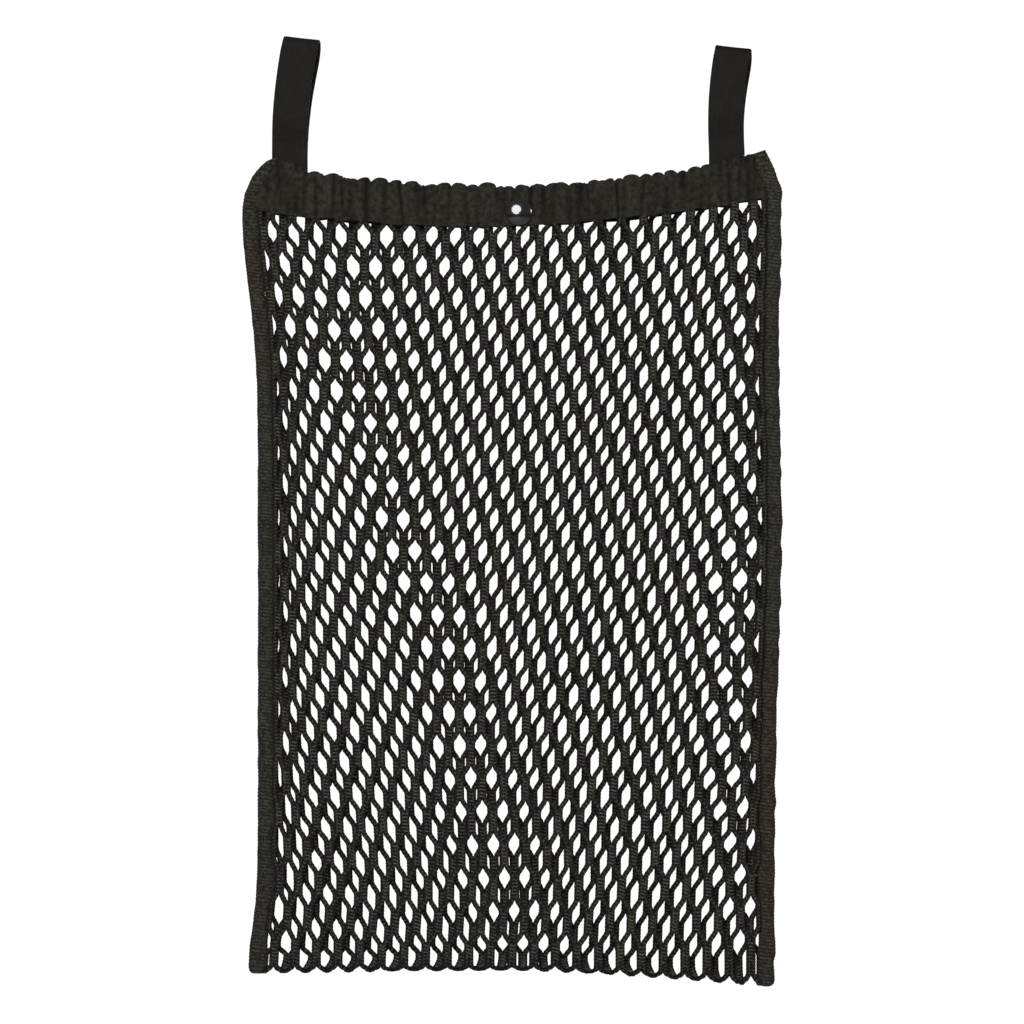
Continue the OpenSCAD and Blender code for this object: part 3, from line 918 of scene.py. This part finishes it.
def elastic_piece(name, side, u0, u1):
    """Flat elastic with ribs along it, in the channel of the hem."""
    u = np.linspace(u0, u1, 160)[:, None]
    across_band = np.linspace(-1, 1, ELASTIC_RIBS * 2 + 1)
    z = sum(hem_edges(u)) / 2 + across_band * ELASTIC_SHARE * hem_tall / 2
    x = across(u, z)
    rib = np.abs(wave(across_band * ELASTIC_RIBS / 4))
    y = at_place(u, hem_y[side])
    half = side * (ELASTIC_T + RIB_HIGH * rib)
    build = Builder()
    over, under = (np.stack([x, y + way * half, z], -1) for way in (1, -1))
    # Painted shade between the ribs.
    build.sheet(over, under, pairs(x, z), np.broadcast_to(1 - rib, z.shape))
    return build.finish(name, elastic_material)


THREAD_R = 0.33 * MM
THREAD_DEPTH = 0.2  # how dark it is all over


def thread_through(build, line, radius=THREAD_R, sides=8):
    """A round thread along a line of points."""
    out, beside = frame_along(line, (0, 1, 0))
    angle = angles_round(sides)
    rings = rings_round(line, out, beside, radius * np.cos(angle), radius * np.sin(angle))
    build.tube(rings, pairs(run_along(line)[:, None], angle * radius), THREAD_DEPTH)


def stitch_places(node):
    """x of the middle of each stitch of a CAD row of stitches."""
    x = np.sort(corners[node].mean(1)[:, 0])
    groups = np.split(x, np.flatnonzero(np.diff(x) > 1 * MM) + 1)
    return np.array([(g[0] + g[-1]) / 2 for g in groups])


def places_along(x, z):
    """Places u of points along the hem, whose cloth runs in under both seams."""
    left, right = across(0, z, HIDDEN_EDGE), across(1, z, HIDDEN_EDGE)
    return (x - left) / (right - left)


def stitch_piece(name, hem, places):
    """A row of short stitches that dip into the cloth at both ends."""
    build = Builder()
    t = np.linspace(-1, 1, STITCH_POINTS)
    lift = 0.12 * MM - 0.55 * MM * np.abs(t) ** 3
    for x in places:
        u = places_along(x + t * STITCH_HALF, hem_low[0])
        thread_through(build, hem.point(u, np.full(STITCH_POINTS, STITCH_UP), np.ones(STITCH_POINTS), lift))
    return build.finish(name, thread_material)


def build_hems():
    """The hems, their stitches and elastic: the back in one piece, the front in two halves."""
    back, front = Hem(BACK, 11), Hem(FRONT, 26)
    rides(hem_piece("hem_back_cloth", back, 0, 1), "bag", "hem_back")
    row = stitch_piece("hem_back_stitches", back, stitch_places("hem_stitching_back"))
    rides(row, "bag", "hem_stitching_back")
    rides(elastic_piece("elastic_band_back", BACK, 0, 1), "bag", "elastic_back")
    places = stitch_places("hem_stitching_front")
    for part, u0, u1 in (("left", 0, SPLIT_U), ("right", SPLIT_U, 1)):
        left = part == "left"
        bends_with_mouth(hem_piece(f"hem_front_{part}", front, u0, u1), "hem_front")
        mine = places < split_x if left else places >= split_x
        row = stitch_piece(f"hem_front_stitches_{part}", front, places[mine])
        bends_with_mouth(row, "hem_stitching_front")
        band = elastic_piece(f"elastic_band_front_{part}", FRONT, u0, u1)
        bends_with_mouth(band, "elastic_front")
    return back


back_hem = build_hems()

# ---- bar tacks over the loops' sewn ends

TACK_ROW = 2.6 * MM  # height of one row of zigzag
TACK_PITCH = 0.55 * MM
TACK_R = 0.24 * MM


def tack_piece(name, node):
    """Two dense zigzag rows of thread on the back of the hem."""
    lo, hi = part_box(node)
    build = Builder()
    for z in (hi.z - TACK_ROW / 2, lo.z + TACK_ROW / 2):
        turns = int((hi.x - lo.x) / TACK_PITCH)
        t = np.arange(turns * 4 + 1) / 4
        swing = 4 * np.abs(t - np.round(t)) - 1
        u = places_along(lerp(lo.x, hi.x, t / turns), hi.z)
        low, high = hem_edges(u)
        h = (z + swing * TACK_ROW / 2 - low) / (high - low)
        lift = 0.2 * MM - 0.35 * MM * np.abs(swing) ** 3
        thread_through(build, back_hem.point(u, h, np.ones(len(u)), lift), TACK_R, 6)
    rides(build.finish(name, thread_material), "bag", node)


tack_piece("bar_tack_left_thread", "bar_tack_left")
tack_piece("bar_tack_right_thread", "bar_tack_right")

# ---- overlocked side seams

SEAM_STEP = 0.6 * MM
SEAM_SIDES = 22
WRAP_PITCH = 2.4 * MM  # one turn of the overlock thread
WRAP_DEEP = 0.55 * MM
WRAP_SLANT = 0.9 * MM
WRAP_UNEVEN = 0.25  # turns by which one is early or late
END_ROUND = 6 * MM  # rounding of the lower end
INNER_WAVE = 1.6 * MM  # pull of the meshes at the inner edge
LUMP = 0.5 * MM  # unevenness of the faces
PULL_SPAN = 16 * MM  # height that follows the pulled corner

# Height of the upper end's curve, its reach inward, and how far its inner edge stays behind the pull.
ROUND_SHOULDER = (15 * MM, 8 * MM, 0)
FULL_SHOULDER = (34 * MM, -2.6 * MM, 1)


def seam_edges(node, z):
    """x of a seam's left and right edge at each height."""
    heights = np.linspace(z[0], z[-1], 60)
    ends = np.array([[corner[0] for corner in cut(node, 2, at)] for at in heights])
    return np.interp(z, heights, ends[:, 0]), np.interp(z, heights, ends[:, 1])


def seam_piece(name, node, outer_sign, seed, scallop, shoulder_shape):
    """A seam with the overlock thread's turns. outer_sign is -1 on the left."""
    lo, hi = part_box(node)
    z = np.arange(lo.z + EDGE, hi.z - EDGE, SEAM_STEP)
    x_low, x_high = seam_edges(node, z)
    angle = angles_round(SEAM_SIDES)
    c, s = np.cos(angle), np.sin(angle)
    wide = (x_high - x_low)[:, None] / 2
    middle = ((x_high + x_low) / 2)[:, None]
    outward = (c * outer_sign + 1) / 2
    turns = (z[:, None] + c * WRAP_SLANT) / WRAP_PITCH
    rib = wave(turns + WRAP_UNEVEN * wander(z, 9 * MM, seed)[:, None])
    wrap = WRAP_DEEP * rib * (0.55 + 0.45 * np.abs(s))
    edge = scallop * wander(z, 7 * MM, seed + 1)[:, None] * outward
    inner_edge = INNER_WAVE * wander(z, MESH_LOW / 4, seed + 2)[:, None] * (1 - outward)
    lump = LUMP * wander(z[:, None] + 0.01 * c, 6 * MM, seed + 3)
    square = np.abs(c) ** 0.75 * np.sign(c)
    rise = np.clip((z - z[0]) / END_ROUND, 0, 1)[:, None]
    end = 0.45 + 0.55 * np.sqrt(1 - (1 - rise) ** 2)
    tall, reach, left_behind = shoulder_shape
    drop = np.clip((z - z[-1]) / tall + 1, 0, 1)[:, None]
    shoulder = reach * lerp(1 - np.sqrt(1 - drop**2), smooth(2 * drop), left_behind) * outward
    x = middle + square * (wide + wrap * 0.5) * end + outer_sign * (edge - inner_edge - shoulder)
    y = s * (0.5 + 0.5 * end) * (hi.y * 0.94 + wrap + lump) * (0.8 + 0.2 * np.abs(s))
    pull = CORNER_PULL * smooth((z - z[-1]) / PULL_SPAN + 1)[:, None]
    height = np.broadcast_to(z[:, None] + pull * (1 - left_behind * (1 - outward)), x.shape)
    build = Builder()
    # Painted shade between the turns of the overlock thread.
    build.tube(np.stack([x, y, height], -1), pairs(height, angle * hi.y * 2), 0.5 - 0.5 * rib)
    rides(build.finish(name, seam_material), "bag", node)


seam_piece("seam_left_overlock", "side_seam_left", -1, 80, 0.25 * MM, ROUND_SHOULDER)
seam_piece("seam_right_overlock", "side_seam_right", 1, 90, 0.7 * MM, FULL_SHOULDER)

# ---- webbing loops

WARP_RIBS = 17  # ridges across the webbing
WARP_DEEP = 0.09 * MM
WEB_STEP = 0.8 * MM
BACK_RUN_SHIFT = 2.4 * MM  # shift of the rear run to the right at the top
BOW = 2.2 * MM  # sideways bow
TOP_SLANT = 0.11  # slope of the top, down to the right
WEFT_DEEP = 0.03 * MM
WEFT_PITCH = 0.9 * MM
BLUR = 13  # half width of a rounding, in points


def webbing_section(half_w, half_t):
    """Points round the webbing's section, across and through it, and the painted shade between its ridges."""
    per_face = WARP_RIBS * 4
    t = np.linspace(-1, 1, per_face)
    ridge = WARP_DEEP * wave((t + 1) / 2 * WARP_RIBS)
    edge = np.sqrt(np.clip(1 - np.abs(t) ** 24, 0, 1))
    top = np.stack([t * half_w, (half_t + ridge) * edge], 1)
    bottom = np.stack([-t * half_w, -(half_t + ridge[::-1]) * edge], 1)
    painted_shade = 0.5 - 0.5 * wave((t + 1) / 2 * WARP_RIBS)
    return np.concatenate([top, bottom[1:-1]]), np.concatenate([painted_shade, painted_shade[::-1][1:-1]])


def smooth_line(knots):
    """A rounded line through knots, as closely spaced points."""
    t = run_along(knots)
    fine = np.linspace(0, t[-1], 240)
    line = np.stack([np.interp(fine, t, knots[:, k]) for k in range(2)], 1)
    kernel = np.hanning(2 * BLUR + 1)
    steps = np.arange(1, BLUR + 1)[:, None]
    before = line[0] + (line[0] - line[1]) * steps[::-1]
    after = line[-1] + (line[-1] - line[-2]) * steps
    padded = np.concatenate([before, line, after])
    return np.stack([np.convolve(padded[:, k], kernel / kernel.sum(), "valid") for k in range(2)], 1)


def loop_line(eye_height, r, half_t, tail_y, tail_low):
    """(y, height over the foot) along the webbing, up the front and down the back."""
    neck, spread = 0.14 * eye_height, 0.34 * eye_height
    knots = [
        (tail_y - half_t, tail_low), (tail_y - half_t, -3 * MM), (-half_t, 0), (-half_t, neck),
        (-r * 0.93, spread), (-r, spread * 1.35), (-r, eye_height * 0.9),
    ]
    turn = np.linspace(math.pi, 0, 25)
    arch = np.stack([r * np.cos(turn), eye_height + r * np.sin(turn)], 1)
    rear_knots = [(-y if k > 1 else 2 * tail_y - y, z) for k, (y, z) in enumerate(knots)]
    rear = smooth_line(np.array(rear_knots))[::-1]
    line = np.concatenate([smooth_line(np.array(knots)), arch, rear])
    return line[np.r_[True, np.linalg.norm(np.diff(line, axis=0), axis=1) > 1e-6]]


def loop_piece(name, node, tail):
    """One length of webbing, folded into a loop, with both its sewn ends."""
    tail_lo, tail_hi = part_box(tail)
    half_t = (tail_hi.y - tail_lo.y) / 4
    half_w = (tail_hi.x - tail_lo.x) / 2
    record = frame["record"]
    body = next(b for b, members in record["behaviour"]["bodies"].items() if node in members)
    foot = Vector(next(j for j in frame["joints"] if j["child"] == body)["pos_m"])
    mount = next(m for m in record["mounts"] if m["name"] == body.replace("loop", "loop_eye"))
    eye = Vector(mount["pos_m"])
    lean = math.atan2(eye.x - foot.x, eye.z - foot.z)
    eye_height = (eye - foot).length
    r = mount["dims"]["r_mm"] * MM + half_t
    line = loop_line(eye_height, r, half_t, (tail_lo.y + tail_hi.y) / 2, tail_lo.z - foot.z)
    run = run_along(line)
    s = np.linspace(0, run[-1], int(run[-1] / WEB_STEP))
    y, h = np.interp(s, run, line[:, 0]), np.interp(s, run, line[:, 1])
    up = np.clip(h / eye_height, 0, 1.1)
    rear_share = smooth((s - run[-1] * 0.42) / (run[-1] * 0.16))
    bow = -BOW * np.sin(np.clip(up, 0, 1) * math.pi)
    x = foot.x + np.tan(lean) * np.clip(h, 0, None) + bow + BACK_RUN_SHIFT * rear_share * smooth(up)
    path = np.stack([x, y, foot.z + h], 1)
    along = unit(np.gradient(path, axis=0))
    beside = unit(np.array([1.0, 0, 0]) - along * along[:, :1])
    out = np.cross(along, beside)
    section, painted_ridge_shade = webbing_section(half_w, half_t)
    weft = WEFT_DEEP * wave(s / WEFT_PITCH)[:, None]
    rings = rings_round(path, out, beside, section[:, 1] * (1 + weft / half_t), section[:, 0])
    rings[..., 2] -= TOP_SLANT * smooth(up / 0.5 - 1)[:, None] * section[:, 0]
    build = Builder()
    # Painted shade between the ridges.
    build.tube(rings, pairs(s[:, None], section[:, 0]), painted_ridge_shade * 0.6)
    loop = build.finish(name, webbing_material)
    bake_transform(loop)
    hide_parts(node, tail)


loop_piece("loop_left_webbing", "strap_left", "strap_tail_left")
loop_piece("loop_right_webbing", "strap_right", "strap_tail_right")

# ---- press stud

LATHE_SIDES = 96  # sides of a turned part
TURN_CORE = 0.05 * MM  # least radius of its rings of points
RIVET_R = 1.8 * MM
SOCKET_BORE = 3.0 * MM
SOCKET_LIP = 0.9 * MM
BALL_R = 2.9 * MM
FOOT_T = 0.9 * MM
EYELET_BORE = 1.0 * MM


def rounded(profile, closed=False, passes=2):
    """A profile with its corners cut."""
    line = np.array(profile, float)
    for _ in range(passes):
        after = np.roll(line, -1, 0) if closed else line[1:]
        before = line if closed else line[:-1]
        cuts = np.stack([lerp(before, after, 0.25), lerp(before, after, 0.75)], 1).reshape(-1, 2)
        line = cuts if closed else np.concatenate([line[:1], cuts, line[-1:]])
    return line


def turned(name, node, profile, slot_name, body, through=False):
    """A part turned on the stud's axis, by a profile of (radius, y) that closes if a hole runs through."""
    lo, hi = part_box(node)
    line = rounded(profile, closed=through)
    angle = angles_round(LATHE_SIDES)
    r = np.maximum(line[:, :1], TURN_CORE)
    x = (lo.x + hi.x) / 2 + r * np.cos(angle)
    z = (lo.z + hi.z) / 2 + r * np.sin(angle)
    rings = np.stack([x, np.broadcast_to(line[:, 1:], x.shape), z], -1)
    build = Builder()
    (build.hoop if through else build.tube)(rings, pairs(r, angle * 5 * MM), np.zeros(x.shape))
    material = cap_material if slot_name == "cap_lacquer" else stud_material
    rides(build.finish(name, material), body, node)


def half_wide(node):
    lo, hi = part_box(node)
    return (hi.x - lo.x) / 2


SOCKET_R = half_wide("snap_socket")


def build_cap():
    lo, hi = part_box("snap_cap")
    r = half_wide("snap_cap")
    seat = at_place(0.5, hem_y[FRONT]) - hem_half
    dome = seat - lo.y
    crown = [(r * t, lo.y + dome * 0.74 * t * t) for t in (0, 0.2, 0.4, 0.6, 0.8, 0.93)]
    rim = [(r, seat - 0.16 * dome), (r, seat - 0.02 * dome), (r * 0.9, seat)]
    rivet = [(RIVET_R * 1.3, seat), (RIVET_R, seat + 0.3 * MM), (RIVET_R, hi.y), (0, hi.y)]
    turned("stud_cap", "snap_cap", crown + rim + rivet, "cap_lacquer", "front")


def build_socket():
    lo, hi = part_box("snap_socket")
    r, bore = SOCKET_R, SOCKET_BORE
    lip = lo.y + SOCKET_LIP
    wall = [(RIVET_R * 1.05, lo.y), (r * 0.96, lo.y), (r, lo.y + SOCKET_LIP / 2), (r * 0.9, lip)]
    ring = [(r * 0.72, hi.y), (bore * 1.15, hi.y), (bore, hi.y - 0.4 * MM)]
    hole = [(bore * 1.05, lip), (RIVET_R * 1.05, lip)]
    turned("stud_socket", "snap_socket", wall + ring + hole, "stud_metal", "front", through=True)


def build_ball():
    lo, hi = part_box("snap_stud")
    r = SOCKET_R
    foot = hi.y - FOOT_T
    nose = [(0, lo.y), (BALL_R * 0.7, lo.y), (BALL_R, lo.y + 0.6 * MM), (BALL_R, lo.y + 1.1 * MM)]
    neck = [(BALL_R * 0.88, foot - 0.2 * MM), (BALL_R * 1.2, foot)]
    base = [(r * 0.95, foot + 0.1 * MM), (r, hi.y), (0, hi.y)]
    turned("stud_ball", "snap_stud", nose + neck + base, "stud_metal", "bag")


def build_eyelet():
    lo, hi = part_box("snap_eyelet")
    r = SOCKET_R
    flange = hi.y - FOOT_T
    tube = [(EYELET_BORE, lo.y), (RIVET_R, lo.y), (RIVET_R, flange)]
    roll = [(r * 0.95, flange), (r, flange + 0.45 * MM), (r * 0.86, hi.y), (r * 0.55, hi.y - 0.1 * MM)]
    throat = [(RIVET_R * 1.3, flange + 0.5 * MM), (EYELET_BORE, flange - 0.2 * MM)]
    turned("stud_eyelet", "snap_eyelet", tube + roll + throat, "stud_metal", "bag", through=True)


for build_part in (build_cap, build_socket, build_ball, build_eyelet):
    build_part()

# ---- stage, light and finish

FILL = 0.22  # light from all round
SEEN_WHITE = 1.05  # white that the camera sees
FLOOR_R = 12
FLOOR_SIDES = 128
FLOOR_BELOW = 0.28


def white_to_camera(tree, lit, output):
    """Plain white for the camera, and the shader given for all else."""
    kinds = ("Emission", "LightPath", "MixShader")
    seen, path, mix = (tree.nodes.new(f"ShaderNode{kind}") for kind in kinds)
    seen.inputs["Strength"].default_value = SEEN_WHITE
    for k, socket in enumerate((path.outputs["Is Camera Ray"], lit, seen.outputs[0])):
        tree.links.new(socket, mix.inputs[k])
    tree.links.new(mix.outputs[0], output.inputs["Surface"])


def add_stage():
    mesh = bpy.data.meshes.new("floor")
    drop = cad_lo.z - FLOOR_BELOW
    ring = angles_round(FLOOR_SIDES)
    points = [(FLOOR_R * math.cos(a), FLOOR_R * math.sin(a), drop) for a in ring]
    mesh.from_pydata(points, [], [list(range(FLOOR_SIDES))])
    n = Nodes("floor")
    n.surface((0.3, 0.3, 0.3, 1), 0.8, Specular_IOR_Level=0.1)
    white_to_camera(n.tree, n.shader.outputs[0], n.tree.nodes["Material Output"])
    mesh.materials.append(n.material)
    put("floor", mesh)


def add_light(name, x, y, above, size, power):
    """A round lamp, turned to the object's middle."""
    data = bpy.data.lights.new(name, "AREA")
    data.shape = "DISK"
    data.size = size
    data.energy = power
    light = put(name, data)
    light.location = (x, y, cad_middle.z + above)
    light.rotation_euler = (cad_middle - light.location).to_track_quat("-Z", "Y").to_euler()


def add_world():
    world = bpy.data.worlds.new("studio")
    world.use_nodes = True
    tree = world.node_tree
    fill = tree.nodes["Background"]
    fill.inputs["Color"].default_value = (1, 1, 1, 1)
    fill.inputs["Strength"].default_value = FILL
    white_to_camera(tree, fill.outputs[0], tree.nodes["World Output"])
    bpy.context.scene.world = world


add_stage()
add_world()
add_light("key", -0.5, -2.5, 0.8, 1.75, 100)
add_light("side", 1.6, -1.2, 0.5, 0.4, 10)
add_light("rear", 0.9, 2.4, 1.0, 1.2, 110)
bpy.context.scene.view_settings.view_transform = "Standard"
